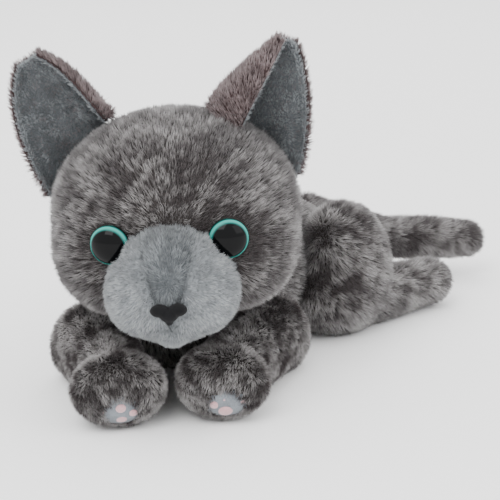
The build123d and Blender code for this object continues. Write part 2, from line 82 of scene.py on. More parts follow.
head = pivot("head_nod")
hx = -unit(joints["head_nod"]["axis"])  # the cat's left
hz = unit(np.array([0, 0, 1]) - hx * hx[2])
hy = np.cross(hz, hx)  # backwards
shoulder = {"left": pivot("foreleg_left_swing"), "right": pivot("foreleg_right_swing")}
paw = {s: middle(f"paw_{s}_pads") for s in shoulder}
hip = {"left": pivot("hind_leg_left_swing"), "right": pivot("hind_leg_right_swing")}
toe = {s: middle(f"foot_{s}_pads") for s in shoulder}
tail_root = pivot("tail_swing")
tail_mid = pivot("tail_bend")
tail_low, tail_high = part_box("tail_end_cover")


def in_head(x, y, z):
    """A point given in the head's own frame, in millimetres, to the left, back and up."""
    return head + (hx * x + hy * y + hz * z) * MM


# ---------------------------------------------------------------- skins
def lobe(centre, radii, x_dir=(1, 0, 0), z_dir=(0, 0, 1)):
    """One round lump for a skin, radii in millimetres along its own axes."""
    x = unit(x_dir)
    z = unit(np.asarray(z_dir, float) - x * np.dot(x, z_dir))
    y = np.cross(z, x)
    radii = np.asarray(radii, float) * MM
    return {"centre": np.asarray(centre, float), "radii": radii, "axes": np.array([x, y, z])}


def chain(points, step=6.0):
    """Lumps along a line through points of (place, radius in millimetres)."""
    out = []
    for (a, ra), (b, rb) in zip(points, points[1:]):
        a, b = np.asarray(a, float), np.asarray(b, float)
        n = max(1, int(np.linalg.norm(b - a) / (step * MM)))
        for i in range(n):
            t = i / n
            r = ra + (rb - ra) * t
            out.append(lobe(a + (b - a) * t, (r, r, r)))
    r = points[-1][1]
    out.append(lobe(points[-1][0], (r, r, r)))
    return out


def depth_in(points, lobes):
    """How deep points lie inside a set of lumps, in metres; below 0 outside."""
    best = np.full(len(points), -1.0)
    for l in lobes:
        local = (points - l["centre"]) @ l["axes"].T / l["radii"]
        r = np.linalg.norm(local, axis=1)
        best = np.maximum(best, (1 - r) * l["radii"].min())
    return best


def round_lumps(lobes, segments, rings):
    """One object made of a round lump at each place."""
    made = []
    for l in lobes:
        bpy.ops.mesh.primitive_uv_sphere_add(segments=segments, ring_count=rings, radius=1.0)
        o = bpy.context.object
        turn = Matrix(np.array(l["axes"]).T.tolist()).to_4x4()
        o.matrix_world = Matrix.Translation(l["centre"]) @ turn @ Matrix.Diagonal((*l["radii"], 1.0))
        made.append(o)
    bpy.ops.object.select_all(action="DESELECT")
    for o in made:
        o.select_set(True)
    bpy.context.view_layer.objects.active = made[0]
    if len(made) > 1:
        bpy.ops.object.join()
    o = bpy.context.object
    bpy.ops.object.transform_apply(location=True, rotation=True, scale=True)
    return o


def make_skin(name, lobes, voxel=3.0, smooth=6, floor=0.4):
    """Lumps joined into one closed skin and smoothed."""
    o = round_lumps(lobes, 24, 14)
    o.name = name
    remesh = o.modifiers.new("remesh", "REMESH")
    remesh.mode = "VOXEL"
    remesh.voxel_size = voxel * MM
    bpy.ops.object.modifier_apply(modifier="remesh")
    relax = o.modifiers.new("relax", "SMOOTH")
    relax.factor = 0.6
    relax.iterations = smooth
    bpy.ops.object.modifier_apply(modifier="relax")
    co = read_points(o)
    low = floor * MM
    co[:, 2] = np.where(co[:, 2] < low, low + (co[:, 2] - low) * 0.02, co[:, 2])
    co[:, 2] = np.maximum(co[:, 2], 0.2 * MM)
    write_points(o, co)
    bpy.ops.object.shade_smooth()
    return o


def read_points(o):
    """A mesh's points as an array."""
    co = np.empty(len(o.data.vertices) * 3)
    o.data.vertices.foreach_get("co", co)
    return co.reshape(-1, 3)


def write_points(o, co):
    """Puts an array back as a mesh's points."""
    o.data.vertices.foreach_set("co", np.ascontiguousarray(co).ravel())
    o.data.update()


def read_triangles(o):
    """Corner numbers, points and smooth normals of a mesh."""
    o.data.calc_loop_triangles()
    tri = np.empty(len(o.data.loop_triangles) * 3, np.int32)
    o.data.loop_triangles.foreach_get("vertices", tri)
    normal = np.empty(len(o.data.vertices) * 3)
    o.data.vertices.foreach_get("normal", normal)
    return tri.reshape(-1, 3), read_points(o), normal.reshape(-1, 3)


# ---------------------------------------------------------------- smooth random fields
def field(points, scale, seed):
    """A smooth random value from 0 to 1 at each point; scale is the size of a patch in millimetres."""
    g = np.random.default_rng(seed)
    total = np.zeros(len(points))
    waves = 28
    for _ in range(waves):
        k = g.normal(size=3) / (scale * MM) * 2.2 * g.uniform(0.6, 1.7)
        total += np.sin(points @ k + g.uniform(0, 2 * math.pi))
    return 1 / (1 + np.exp(-total * 2.2 / math.sqrt(waves)))


# ---------------------------------------------------------------- colour
def linear(code):
    """An sRGB hex code as linear red, green, blue and 1."""
    parts = [int(code[i : i + 2], 16) / 255 for i in (1, 3, 5)]
    return tuple(c / 12.92 if c <= 0.04045 else ((c + 0.055) / 1.055) ** 2.4 for c in parts) + (1.0,)


def add_node(tree, kind, settings=(), links=()):
    """One shader node with its settings and its inputs; a link is (input, node, output)."""
    node = tree.nodes.new(kind)
    for key, value in settings:
        if isinstance(key, str) and hasattr(node, key):
            setattr(node, key, value)
        else:
            node.inputs[key].default_value = value
    for key, source, output in links:
        tree.links.new(source.outputs[output], node.inputs[key])
    return node


def ramp(tree, stops, source, output):
    """A colour ramp over (place, hex code) stops."""
    node = tree.nodes.new("ShaderNodeValToRGB")
    tree.links.new(source.outputs[output], node.inputs[0])
    while len(node.color_ramp.elements) < len(stops):
        node.color_ramp.elements.new(0.5)
    for element, (place, code) in zip(node.color_ramp.elements, stops):
        element.position = place
        element.color = linear(code)
    return node


def new_material(name):
    """An empty material and its output."""
    m = bpy.data.materials.new(name)
    m.use_nodes = True
    m.node_tree.nodes.clear()
    return m, m.node_tree, m.node_tree.nodes.new("ShaderNodeOutputMaterial")


def pile_material(name, dark, light, roughness=0.75, sheen=0.15):
    """Long pile: root to tip along the map's height, dark to light strands across it."""
    m, tree, out = new_material(name)
    uv = add_node(tree, "ShaderNodeUVMap", [("uv_map", "OFBake")])
    split = add_node(tree, "ShaderNodeSeparateXYZ", (), [(0, uv, 0)])
    low = ramp(tree, dark, split, 1)
    high = ramp(tree, light, split, 1)
    mix = add_node(
        tree, "ShaderNodeMix", [("data_type", "RGBA")], [(0, split, 0), (6, low, 0), (7, high, 0)]
    )
    shader = add_node(
        tree,
        "ShaderNodeBsdfPrincipled",
        [("Roughness", roughness), ("Specular IOR Level", 0.25), ("Sheen Weight", sheen), ("Sheen Roughness", 0.5)],
        [("Base Color", mix, 2)],
    )
    tree.links.new(shader.outputs[0], out.inputs[0])
    return m


def plush_material(name, code, dark_code, scale=0.9, bump=0.5, roughness=0.9, sheen=0.4):
    """Short plush or cloth: fine nap that breaks the colour, over soft shading."""
    m, tree, out = new_material(name)
    place = add_node(tree, "ShaderNodeTexCoord")
    fine = add_node(
        tree,
        "ShaderNodeTexNoise",
        [("Scale", 1000 / scale), ("Detail", 3.0), ("Roughness", 0.6)],
        [("Vector", place, "Object")],
    )
    broad = add_node(
        tree, "ShaderNodeTexNoise", [("Scale", 1000 / (scale * 14)), ("Detail", 2.0)], [("Vector", place, "Object")]
    )
    both = add_node(tree, "ShaderNodeMath", [("operation", "ADD")], [(0, fine, 0), (1, broad, 0)])
    half = add_node(tree, "ShaderNodeMath", [("operation", "MULTIPLY"), (1, 0.5)], [(0, both, 0)])
    colour = ramp(tree, [(0.38, dark_code), (0.62, code)], half, 0)
    raised = add_node(
        tree, "ShaderNodeBump", [("Strength", bump), ("Distance", 0.0006)], [("Height", fine, 0)]
    )
    shader = add_node(
        tree,
        "ShaderNodeBsdfPrincipled",
        [("Roughness", roughness), ("Specular IOR Level", 0.2), ("Sheen Weight", sheen), ("Sheen Roughness", 0.6)],
        [("Base Color", colour, 0), ("Normal", raised, 0)],
    )
    tree.links.new(shader.outputs[0], out.inputs[0])
    return m


# frosted faux fur: near-black brown roots, grey middles and silver tips, the tips giving the mottle
FUR_DARK = [(0.0, "#171415"), (0.45, "#2A2425"), (0.8, "#3B3334"), (1.0, "#4A4242")]
FUR_LIGHT = [(0.0, "#332F2F"), (0.30, "#686463"), (0.65, "#9C9998"), (1.0, "#C9C7C6")]
long_pile = pile_material("frosted_grey_pile", FUR_DARK, FUR_LIGHT)
# the backs of the ears: the same pile, shorter and with a warm mauve-brown cast
brown_pile = pile_material(
    "brown_grey_pile",
    [(0.0, "#221A1B"), (0.5, "#463A3A"), (1.0, "#655657")],
    [(0.0, "#352A2A"), (0.5, "#776767"), (1.0, "#A79C9C")],
)
# short blue-grey plush of the ear linings and the bridge of the nose: a soft nap that catches light at its edges
blue_nap = pile_material(
    "blue_grey_nap",
    [(0.0, "#2F3234"), (0.5, "#4B4F52"), (1.0, "#666A6D")],
    [(0.0, "#4C5053"), (0.5, "#7B8083"), (1.0, "#A2A7AA")],
    sheen=0.15,
)
# paler plush of the cheeks, chin and soles
pale_nap = pile_material(
    "pale_blue_nap",
    [(0.0, "#45484B"), (0.5, "#6F7376"), (1.0, "#8C9093")],
    [(0.0, "#6B6F72"), (0.5, "#9EA2A5"), (1.0, "#C6CACC")],
    sheen=0.15,
)
# the cloth that the pile is woven into, dark so that it reads as shade between strands
backing = plush_material("dark_backing_cloth", "#34302F", "#1D1A1A", sheen=0.0)
brown_backing = plush_material("brown_backing_cloth", "#3B2D2D", "#211919", sheen=0.0)
blue_backing = plush_material("blue_grey_plush", "#54585B", "#3C4043", sheen=0.2)
pale_backing = plush_material("pale_blue_plush", "#808487", "#63676A", sheen=0.2)
# the soles: the same plush, worn closer
sole_cloth = plush_material("sole_plush", "#7E848A", "#62686E", sheen=0.2)
# black velour of the nose: deep black with a faint grey bloom at grazing angles
velour = plush_material("black_velour", "#0C0C0F", "#040405", scale=0.5, bump=0.3, roughness=0.95, sheen=0.03)
# pink velour of the toe pads
pink = plush_material("pink_velour", "#C9A3A6", "#B0868A", scale=0.5, bump=0.4, roughness=0.9, sheen=0.5)


# ---------------------------------------------------------------- pile
def grow(name, skin, material, count, length, comb, lift=0.6, width=0.9, shade=None, keep=None, clump=0.4,
         clump_share=0.12, bend=0.5, seed=1):
    """Strands of pile on a skin, each a thin closed three-sided spike that leans with its neighbours."""
    g = np.random.default_rng(seed)
    tri, points, normals = read_triangles(skin)
    a, b, c = points[tri[:, 0]], points[tri[:, 1]], points[tri[:, 2]]
    area = np.linalg.norm(np.cross(b - a, c - a), axis=1)
    pick = np.searchsorted(np.cumsum(area) / area.sum(), g.random(count))
    pick = np.minimum(pick, len(tri) - 1)
    r1, r2 = np.sqrt(g.random(count))[:, None], g.random(count)[:, None]
    w0, w1, w2 = 1 - r1, r1 * (1 - r2), r1 * r2
    root = points[tri[pick, 0]] * w0 + points[tri[pick, 1]] * w1 + points[tri[pick, 2]] * w2
    normal = unit(normals[tri[pick, 0]] * w0 + normals[tri[pick, 1]] * w1 + normals[tri[pick, 2]] * w2)
    if keep is not None:
        stay = keep(root, normal)
        root, normal = root[stay], normal[stay]
    count = len(root)
    run = comb(root, normal)
    run = unit(run - normal * np.sum(run * normal, axis=1, keepdims=True) + g.normal(size=root.shape) * 0.12)
    size = length(root, normal) * MM * g.uniform(0.75, 1.15, count)
    rise = np.clip(lift + g.normal(size=count) * 0.13, 0.08, 1.3)[:, None]
    first = unit(normal * (rise + 0.35) + run * (1 - bend * 0.6) + g.normal(size=root.shape) * 0.10)
    second = unit(normal * rise * 0.75 + run + g.normal(size=root.shape) * 0.14)
    base = root - normal * 0.8 * MM
    mid = root + first * size[:, None] * 0.5
    tip = mid + second * size[:, None] * 0.55
    # strands near one another lean together into tufts
    heads = max(1, int(count * clump_share))
    tree = kdtree.KDTree(heads)
    for i in range(heads):
        tree.insert(root[i], i)
    tree.balance()
    near = np.fromiter((tree.find(p)[1] for p in root), int, count)
    pull = (clump * g.uniform(0.5, 1.0, count))[:, None]
    tip = tip + (tip[near] - tip) * pull
    limit = 0.3 * MM
    for p in (base, tip):
        p[:, 2] = np.maximum(p[:, 2], limit)
    # geometry
    line = unit(tip - base)
    side = unit(np.cross(line, g.normal(size=root.shape)))
    other = np.cross(line, side)
    w = (width * MM / 2 * g.uniform(0.8, 1.2, count))[:, None]
    corners = 4
    verts = np.empty((count, corners, 3))
    for k in range(3):
        angle = 2 * math.pi * k / 3
        verts[:, k] = base + (side * math.cos(angle) + other * math.sin(angle)) * w
    verts[:, 3] = tip
    pattern = np.array([[0, 1, 3], [1, 2, 3], [2, 0, 3], [0, 2, 1]])
    faces = (np.arange(count)[:, None, None] * corners + pattern[None]).reshape(-1, 3)
    mesh = bpy.data.meshes.new(name)
    mesh.vertices.add(count * corners)
    mesh.vertices.foreach_set("co", verts.ravel())
    mesh.loops.add(len(faces) * 3)
    mesh.loops.foreach_set("vertex_index", faces.ravel().astype(np.int32))
    mesh.polygons.add(len(faces))
    mesh.polygons.foreach_set("loop_start", np.arange(0, len(faces) * 3, 3, dtype=np.int32))
    mesh.polygons.foreach_set("use_smooth", np.ones(len(faces), bool))
    tone = shade(root, near, g) if shade is not None else np.full(count, 0.5)
    tone = np.clip(tone, 0.03, 0.97)
    across = np.array([-1, 0, 1, 0]) * 0.012
    along = np.array([0.02, 0.02, 0.02, 0.98])
    u = (tone[:, None] + across[None])[:, pattern].reshape(-1)
    v = np.broadcast_to(along[pattern].reshape(-1), (count, pattern.size)).copy()
    v[:, -3:] = (0.02, 0.04, 0.02)
    uv = mesh.uv_layers.new(name="OFBake")
    uv.data.foreach_set("uv", np.stack([u, v.reshape(-1)], axis=1).ravel())
    mesh.update(calc_edges=True)
    mesh.validate()
    obj = bpy.data.objects.new(name, mesh)
    bpy.context.scene.collection.objects.link(obj)
    mesh.materials.append(material)
    return obj


# ---------------------------------------------------------------- lumps that each skin is made of
down = np.array([0, 0, -1.0])
paw_middle = np.array([0, 0.021, 0.021])  # from the paw's place on the floor, in metres
foot_middle = np.array([0, 0, 0.017])
body_run = unit((tail_root - (shoulder["left"] + shoulder["right"]) / 2) * [1, 1, 0])
chest = (shoulder["left"] + shoulder["right"]) / 2 + np.array([2, 15, 16]) * MM

torso_lobes = [
    lobe(np.array([0, 0, 40]) * MM, (90, 43, 43), body_run),
    lobe(np.array([0, 0, 42]) * MM - body_run * 40 * MM, (48, 40, 40), body_run),
    lobe(chest, (46, 36, 36)),
    lobe(tail_root - body_run * 22 * MM - [0, 0, 0.018], (30, 28, 30), body_run),
]
head_lobes = [
    lobe(head, (69, 57, 57), hx, hz),
    lobe(in_head(-30, -14, -14), (38, 42, 40), hx, hz),
    lobe(in_head(30, -14, -14), (38, 42, 40), hx, hz),
    lobe(in_head(0, -14, 12), (52, 44, 42), hx, hz),
]
muzzle_centre = in_head(0, -55, -27)
muzzle_lobes = [
    lobe(muzzle_centre, (35, 33, 32), hx, hz),
    lobe(in_head(15, -58, -31), (21, 26, 23), hx, hz),
    lobe(in_head(-15, -58, -31), (21, 26, 23), hx, hz),
    lobe(in_head(0, -54, -17), (24, 26, 22), hx, hz),
    lobe(in_head(0, -60, -40), (20, 25, 18), hx, hz),
]
limb_lobes = {}
for s, sign in (("left", 1), ("right", -1)):
    tip = paw[s] * [1, 1, 0] + paw_middle
    elbow = shoulder[s] + np.array([sign * 1, -4, 0]) * MM
    reach = unit((tip - shoulder[s]) * [1, 1, 0])
    limb_lobes[f"foreleg_{s}"] = chain(
        [(elbow + [0, 0, 0.002], 23), (shoulder[s] + reach * 0.045 + [0, 0, 0.001], 20.5), (tip - reach * 0.012, 19)]
    ) + [lobe(tip, (25.5, 21, 19.5), np.cross(reach, [0, 0, 1])), lobe(elbow, (24, 23, 23))]
    end = toe[s] * [1, 1, 0] + foot_middle
    run = unit((end - hip[s]) * [1, 1, 0])
    limb_lobes[f"hind_leg_{s}"] = chain([(hip[s] - [0, 0, 0.023] + run * 0.02, 17), (end - run * 0.018, 13.5)]) + [
        lobe(hip[s], (29, 29, 41)),
        lobe(hip[s] - run * 6 * MM - [0, 0, 0.014], (30, 28, 26), run),
        lobe(end - run * 0.017, (17, 15, 13.5), run),
    ]
tail_tip = np.array([tail_high[0] - 0.016, (tail_low[1] + tail_high[1]) / 2 + 0.003, tail_mid[2] - 0.0065])
tail_lobes = chain(
    [(tail_root, 10.5), (tail_mid, 11), (tail_mid + (tail_tip - tail_mid) * 0.6, 11.5), (tail_tip, 9.5)], 5
)

skins = {
    "torso": make_skin("torso_skin", torso_lobes, 3.5, 10),
    "head": make_skin("head_skin", head_lobes, 3.0, 12),
    "tail": make_skin("tail_skin", tail_lobes, 2.5, 6),
}
for key, lumps in limb_lobes.items():
    skins[key] = make_skin(key + "_skin", lumps, 3.0, 8)
muzzle = make_skin("muzzle_form", muzzle_lobes, 1.6, 10)


def head_frame_points(co):
    """Points in the head's own frame, in millimetres."""
    return (co - head) @ np.array([hx, hy, hz]).T / MM


# ---------------------------------------------------------------- eyes
eye_spot = {}
for s in ("left", "right"):
    lens, iris = middle(f"eye_{s}_lens"), middle(f"eye_{s}_iris")
    facing = unit(lens - iris)
    eye_spot[s] = (iris, facing)
    # glossy moulded dome, near-black pupil inside a teal ring; the ring's darkening at its rim is painted shade
    bpy.ops.mesh.primitive_uv_sphere_add(segments=64, ring_count=32, radius=1.0)
    eye = bpy.context.object
    eye.name = f"eye_{s}_dome"
    co = read_points(eye)
    uv = eye.data.uv_layers[0]
    uv.name = "OFBake"
    loops = np.empty(len(eye.data.loops), np.int32)
    eye.data.loops.foreach_get("vertex_index", loops)
    flat = co[:, :2][loops]
    back = co[:, 2][loops] < 0
    turn = np.arctan2(flat[:, 1:], flat[:, :1])
    polar = np.arccos(np.clip(np.abs(co[:, 2][loops]), 0, 1))[:, None] / (math.pi / 2)
    where = np.where(back[:, None], [[0.75, 0.25]], [[0.25, 0.75]])
    uv.data.foreach_set("uv", (where + 0.24 * polar * np.hstack([np.cos(turn), np.sin(turn)])).ravel())
    x = unit(np.cross([0, 0, 1], facing))
    y = np.cross(facing, x)
    size = np.array([11.2, 11.2, 7.0]) * MM
    write_points(eye, iris - facing * 0.9 * MM + (co * size) @ np.array([x, y, facing]))
    bpy.ops.object.shade_smooth()
    m, tree, out = new_material(f"glossy_teal_eye_{s}")
    place = add_node(tree, "ShaderNodeUVMap", [("uv_map", "OFBake")])
    shift = add_node(
        tree, "ShaderNodeVectorMath", [("operation", "SUBTRACT"), (1, (0.25, 0.75, 0.0))], [(0, place, 0)]
    )
    far = add_node(tree, "ShaderNodeVectorMath", [("operation", "LENGTH")], [(0, shift, 0)])
    share = add_node(tree, "ShaderNodeMath", [("operation", "MULTIPLY"), (1, 1 / 0.24)], [(0, far, 1)])
    colour = ramp(
        tree,
        [
            (0.0, "#030304"),
            (0.60, "#040506"),
            (0.64, "#11403C"),
            (0.72, "#348A81"),
            (0.81, "#3F9A90"),
            # painted shade: the teal ring darkens to near black at its outer rim
            (0.87, "#1D5F59"),
            (0.94, "#061514"),
        ],
        share,
        0,
    )
    shader = add_node(
        tree,
        "ShaderNodeBsdfPrincipled",
        [("Roughness", 0.07), ("Specular IOR Level", 0.12)],
        [("Base Color", colour, 0)],
    )
    tree.links.new(shader.outputs[0], out.inputs[0])
    eye.data.materials.append(m)
    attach(eye, "head")
    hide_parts(f"eye_{s}_lens", f"eye_{s}_iris")

# the head's skin hollows round the eyes
co = read_points(skins["head"])
for s, (place, facing) in eye_spot.items():
    away = co - place
    flat = away - np.outer(away @ facing, facing)
    d = np.linalg.norm(flat, axis=1) / MM
    near = np.linalg.norm(away, axis=1) < 0.03
    level = away @ facing
    dip = np.where(near, np.exp(-((d / 13.0) ** 4)), 0)
    co -= np.outer(dip * np.maximum(level + 0.0005, 0), facing)
write_points(skins["head"], co)

# ---------------------------------------------------------------- muzzle: three panels that meet in soft creases
BRIDGE_TOP, BRIDGE_LOW = (16.5, 2.0), (5.0, -34.0)  # half width and height of the middle panel at its ends, in mm


def bridge_half_width(height):
    """Half the width of the middle panel at a height in the head's frame, in millimetres."""
    (w1, h1), (w0, h0) = BRIDGE_TOP, BRIDGE_LOW
    return w0 + (height - h0) * (w1 - w0) / (h1 - h0)


co = read_points(muzzle)
p = head_frame_points(co)
out_dir = unit(co - muzzle_centre)
line = np.maximum(bridge_half_width(p[:, 2]), 0)
press = 1.6 * np.exp(-(((np.abs(p[:, 0]) - line) / 2.8) ** 2)) * (p[:, 1] < -40)
mouth = 1.5 * np.exp(-((p[:, 0] / 2.2) ** 2)) * (p[:, 1] < -60) * (p[:, 2] < -38)
swell = 0.6 * np.exp(-((p[:, 0] / np.maximum(line * 0.7, 1)) ** 2)) * (p[:, 2] > -34)
co -= out_dir * ((press + mouth - swell) * MM)[:, None]
for s, (place, facing) in eye_spot.items():
    away = co - place
    level = away @ facing
    flat = np.linalg.norm(away - np.outer(level, facing), axis=1) / MM
    dip = np.clip((13.0 - flat) / 4.0, 0, 1) * (level > -0.002)
    co -= np.outer(dip * np.maximum(level - 0.0015, 0) * 0.6, facing)
write_points(muzzle, co)


def cut_copy(source, name, planes):
    """A closed copy of a skin, kept on the far side of each plane; a plane is (point, direction kept)."""
    bpy.ops.object.select_all(action="DESELECT")
    source.select_set(True)
    bpy.context.view_layer.objects.active = source
    bpy.ops.object.duplicate()
    o = bpy.context.object
    o.name = name
    bpy.ops.object.mode_set(mode="EDIT")
    for point, keep in planes:
        bpy.ops.mesh.select_all(action="SELECT")
        bpy.ops.mesh.bisect(
            plane_co=tuple(point), plane_no=tuple(unit(keep)), use_fill=True, clear_inner=True, clear_outer=False
        )
    bpy.ops.object.mode_set(mode="OBJECT")
    return o


slant = (BRIDGE_TOP[0] - BRIDGE_LOW[0]) / (BRIDGE_TOP[1] - BRIDGE_LOW[1])
left_seam = (in_head(BRIDGE_LOW[0], 0, BRIDGE_LOW[1]), hx - hz * slant)
right_seam = (in_head(-BRIDGE_LOW[0], 0, BRIDGE_LOW[1]), -hx - hz * slant)
bridge = cut_copy(muzzle, "muzzle_bridge", [(left_seam[0], -left_seam[1]), (right_seam[0], -right_seam[1])])
cheek_left = cut_copy(muzzle, "muzzle_left", [left_seam, (head + hx * 0.00005, hx)])
cheek_right = cut_copy(muzzle, "muzzle_right", [right_seam, (head - hx * 0.00005, -hx)])
for o, cloth, nodes, slot_name in (
    (bridge, blue_backing, ("muzzle_bridge_cover", "muzzle_stuffing"), "bridge_plush"),
    (cheek_left, pale_backing, ("muzzle_left_cover",), "cheek_plush"),
    (cheek_right, pale_backing, ("muzzle_right_cover",), "cheek_plush"),
):
    o.data.materials.clear()
    o.data.materials.append(cloth)
    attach(o, "head")
    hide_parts(*nodes)
# the small lip below the nose
chin_place = middle("chin_cover")
chin = make_skin("chin_lip", [lobe(chin_place + hz * 1.0 * MM, (8.5, 7.5, 6.5), hx, hz)], 1.0, 4)
chin.data.materials.append(pale_backing)
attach(chin, "head")
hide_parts("chin_cover")

bpy.data.objects.remove(muzzle)

# ---------------------------------------------------------------- nose: a wide heart of black velour
nose_place = middle("nose")
nose = make_skin(
    "nose_heart",
    [
        lobe(nose_place + hx * 4.8 * MM + hz * 4.2 * MM, (5.2, 4.6, 3.4), hx, hz),
        lobe(nose_place - hx * 4.8 * MM + hz * 4.2 * MM, (5.2, 4.6, 3.4), hx, hz),
        lobe(nose_place + hz * 1.6 * MM - hy * 0.3 * MM, (5.0, 4.8, 3.8), hx, hz),
        lobe(nose_place - hz * 1.4 * MM + hy * 0.5 * MM, (2.2, 3.8, 2.8), hx, hz),
    ],
    0.45,
    4,
)
nose.data.materials.clear()
nose.data.materials.append(velour)
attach(nose, "head")
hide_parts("nose")

# ---------------------------------------------------------------- ears
ear_shapes = {
    # rear edge and inner edge of each ear across and up the head, then how far round its curl it starts and ends
    "left": ([(69, 13), (78, 36), (79, 66), (72, 89)], [(25, 55), (33, 69), (50, 80), (65, 92)], 15, 248),
    "right": ([(-71, 10), (-82, 34), (-91, 60), (-81, 85)], [(-35, 54), (-46, 68), (-54, 84), (-71, 91)], 8, 205),
}


def bezier(points, t):
    """A cubic curve through its ends."""
    p = np.array(points, float)
    t = t[:, None]
    return p[0] * (1 - t) ** 3 + p[1] * 3 * t * (1 - t) ** 2 + p[2] * 3 * t**2 * (1 - t) + p[3] * t**3


def ear_sheet(name, side, shift, thick, seed):
    """One layer of a cupped ear, closed, with soft folds running up from its root."""
    outer, inner, start, end = ear_shapes[side]
    rows, cols = 34, 44
    t = np.linspace(0, 1, rows) ** 0.9
    a = np.radians(np.linspace(start, end, cols))
    e0, e1 = bezier(outer, t), bezier(inner, t)
    f = (1 - np.cos(a)) / 2
    deep = (15.5 * (1 - t) + 4.0 * t) * (1 - 0.6 * t**8)
    xz = e0[:, None] * (1 - f)[None, :, None] + e1[:, None] * f[None, :, None]
    y = 7.0 + deep[:, None] * np.sin(a)[None]
    fold = np.sin(a * 4.2 + seed)[None] * 2.8 + np.sin(a * 9.0 + seed * 2.0 + t[:, None] * 3.0) * 1.3
    fade_up = (1 - t) ** 0.6 * np.sin(math.pi * np.clip(t * 1.3 + 0.08, 0, 1))
    fold = fold * fade_up[:, None] * np.sin(a / a[-1] * math.pi)[None]
    y = y + fold - 4.0 * t[:, None]
    grid = head + (xz[..., 0:1] * hx + y[..., None] * hy + xz[..., 1:2] * hz) * MM
    ear_rims[side] = np.vstack([grid[:, 0], grid[:, -1], grid[-1, :]]).tolist()
    mesh = bpy.data.meshes.new(name)
    faces = [
        (i * cols + j, i * cols + j + 1, (i + 1) * cols + j + 1, (i + 1) * cols + j)
        for i in range(rows - 1)
        for j in range(cols - 1)
    ]
    mesh.from_pydata(grid.reshape(-1, 3).tolist(), [], faces)
    obj = bpy.data.objects.new(name, mesh)
    bpy.context.scene.collection.objects.link(obj)
    bpy.ops.object.select_all(action="DESELECT")
    obj.select_set(True)
    bpy.context.view_layer.objects.active = obj
    bpy.ops.object.mode_set(mode="EDIT")
    bpy.ops.mesh.select_all(action="SELECT")
    bpy.ops.mesh.remove_doubles(threshold=0.0003)
    bpy.ops.mesh.normals_make_consistent(inside=False)
    bpy.ops.object.mode_set(mode="OBJECT")
    # faces look into the cup
    tri, points, normals = read_triangles(obj)
    opening = unit(-hy + hx * (0.8 if side == "left" else -0.35))
    if np.mean(normals @ opening) < 0:
        obj.data.flip_normals()
    tri, points, normals = read_triangles(obj)
    write_points(obj, points - normals * shift * MM)
    solid = obj.modifiers.new("thickness", "SOLIDIFY")
    solid.thickness = thick * MM
    solid.offset = -1
    bpy.ops.object.modifier_apply(modifier="thickness")
    bpy.ops.object.shade_smooth()
    return obj


ears = {}
ear_rims = {}
for s in ("left", "right"):
    lining = ear_sheet(f"ear_{s}_lining_sheet", s, 0.0, 1.3, 1)
    lining.data.materials.append(blue_backing)
    back = ear_sheet(f"ear_{s}_back_sheet", s, 1.5, 1.8, 1)
    back.data.materials.append(brown_backing)
    for o, node, slot_name in ((lining, f"ear_{s}_lining", "ear_plush"), (back, f"ear_{s}_back", "ear_fur")):
        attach(o, f"ear_{s}")
        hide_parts(node)
    ears[s] = (lining, back)

# ---------------------------------------------------------------- neck: a short sleeve under the head's pile
neck_middle = middle("neck_gusset")
neck_line = unit(neck_middle - head)
neck = make_skin("neck_sleeve", [lobe(head + neck_line * 46 * MM, (33, 33, 17), (1, 0, 0), neck_line)], 3.0, 4)
neck.data.materials.append(backing)
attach(neck, "neck")
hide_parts("neck_gusset")

# ---------------------------------------------------------------- the long-pile skins
owners = {
    "torso": (
        "torso",
        "body_fur",
        ["torso_back_cover", "torso_belly_cover", "torso_stuffing", "pellet_bag_cloth", "pellet_fill"],
    ),
    "head": ("head", "head_fur", ["head_left_cover", "head_right_cover", "head_crown_cover", "head_stuffing"]
             + [f"eye_{s}_{k}" for s in ("left", "right") for k in ("shank", "washer")]),
}
for s in ("left", "right"):
    owners[f"foreleg_{s}"] = (f"foreleg_{s}", "leg_fur", [f"foreleg_{s}_cover", f"foreleg_{s}_stuffing"])
    owners[f"hind_leg_{s}"] = (
        f"hind_leg_{s}",
        "body_fur",
        [f"haunch_{s}_cover", f"haunch_{s}_stuffing", f"foot_{s}_cover", f"foot_{s}_stuffing"],
    )
for key, (body, slot_name, nodes) in owners.items():
    o = skins[key]
    o.data.materials.append(backing)
    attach(o, body)
    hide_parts(*nodes)
tail = skins["tail"]
tail.data.materials.append(backing)
tail_run = unit(tail_mid - tail_root)


def bend_tail(o):
    """Writes the tail's placement into its points."""
    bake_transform(o)


bend_tail(tail)
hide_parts("tail_base_cover", "tail_base_stuffing", "tail_end_cover", "tail_end_stuffing")


# ---------------------------------------------------------------- soles and toe pads
def cap_of(source, name, centre, facing, radius, lift):
    """A closed patch standing a little proud of a skin, round an axis out of it."""
    bpy.ops.object.select_all(action="DESELECT")
    source.select_set(True)
    bpy.context.view_layer.objects.active = source
    bpy.ops.object.duplicate()
    o = bpy.context.object
    o.name = name
    for key in list(o.keys()):
        if key.startswith("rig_"):
            del o[key]
    tri, co, normals = read_triangles(o)
    away = co - centre
    level = away @ facing
    flat = np.linalg.norm(away - np.outer(level, facing), axis=1)
    stay = (flat < radius * MM) & (level > 0)
    bpy.ops.object.mode_set(mode="EDIT")
    bpy.ops.mesh.select_all(action="DESELECT")
    bpy.ops.object.mode_set(mode="OBJECT")
    o.data.vertices.foreach_set("select", ~stay)
    bpy.ops.object.mode_set(mode="EDIT")
    bpy.ops.mesh.delete(type="VERT")
    bpy.ops.object.mode_set(mode="OBJECT")
    tri, co, normals = read_triangles(o)
    write_points(o, co + normals * lift * MM)
    solid = o.modifiers.new("thickness", "SOLIDIFY")
    solid.thickness = (lift + 0.8) * MM
    solid.offset = -1
    bpy.ops.object.modifier_apply(modifier="thickness")
    o.data.materials.clear()
    return o


